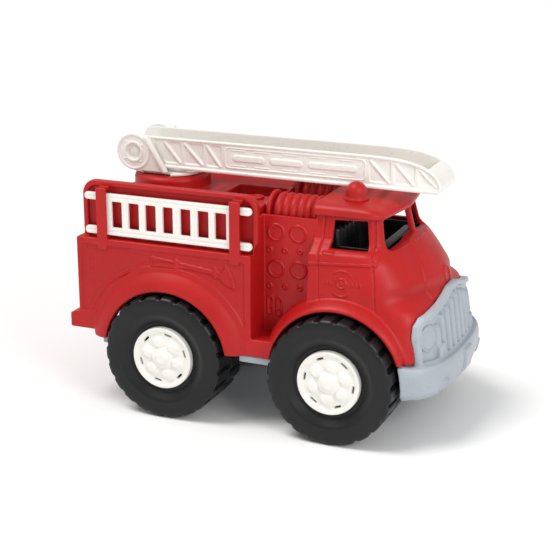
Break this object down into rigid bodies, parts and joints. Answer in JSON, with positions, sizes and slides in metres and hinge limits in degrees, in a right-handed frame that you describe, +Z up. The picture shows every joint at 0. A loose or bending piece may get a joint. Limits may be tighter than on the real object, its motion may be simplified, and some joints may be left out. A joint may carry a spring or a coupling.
{
  "type": "toy fire engine",
  "caption": "Red moulded plastic toy fire engine with a swivelling, lifting white ladder, slide-off side ladders, grey bumper and big black wheels.",
  "frame": {"origin": "on the floor under the middle of the truck", "axes": "+X runs forward to the bumper, +Y to the truck's left, +Z up"},
  "size_m": [0.269, 0.156, 0.184],
  "materials": {
    "red_plastic": "moulded, satin",
    "white_plastic": "moulded, satin",
    "grey_plastic": "moulded, satin",
    "black_plastic": "moulded, satin",
    "tyre_plastic": "moulded, fine matte"
  },
  "bodies": {
    "body": {"body_shell": "red_plastic", "deck_insert": "red_plastic", "chassis": "grey_plastic", "cab_interior": "black_plastic", "beacon": "red_plastic"},
    "front_axle_set": {"front_axle": "grey_plastic", "tyre_front_right": "tyre_plastic", "tyre_front_left": "tyre_plastic", "hub_front_right": "white_plastic", "hub_front_left": "white_plastic"},
    "rear_axle_set": {"rear_axle": "grey_plastic", "tyre_rear_right": "tyre_plastic", "tyre_rear_left": "tyre_plastic", "hub_rear_right": "white_plastic", "hub_rear_left": "white_plastic"},
    "turntable": {"turntable": "white_plastic", "turntable_clip": "white_plastic", "boom_pin": "white_plastic"},
    "boom": {"ladder_boom": "white_plastic"},
    "ladder_right": {"side_ladder_right": "white_plastic"},
    "ladder_left": {"side_ladder_left": "white_plastic"}
  },
  "joints": [
    {"name": "front_axle_spin", "type": "hinge", "parent": "body", "child": "front_axle_set", "pos_m": [0.0609, 0, 0.0432], "axis": [0, 1, 0], "continuous": true},
    {"name": "rear_axle_spin", "type": "hinge", "parent": "body", "child": "rear_axle_set", "pos_m": [-0.0591, 0, 0.0432], "axis": [0, 1, 0], "continuous": true},
    {"name": "turntable_swivel", "type": "hinge", "parent": "body", "child": "turntable", "pos_m": [-0.0859, 0, 0.1556], "axis": [0, 0, 1], "range_deg": [0, 335]},
    {"name": "boom_lift", "type": "hinge", "parent": "turntable", "child": "boom", "pos_m": [-0.1059, 0, 0.171], "axis": [0, -1, 0], "range_deg": [0, 70]},
    {"name": "ladder_right_slide", "type": "slide", "parent": "body", "child": "ladder_right", "axis": [1, 0, 0], "range_m": [-0.13, 0]},
    {"name": "ladder_left_slide", "type": "slide", "parent": "body", "child": "ladder_left", "axis": [1, 0, 0], "range_m": [-0.13, 0]}
  ]
}
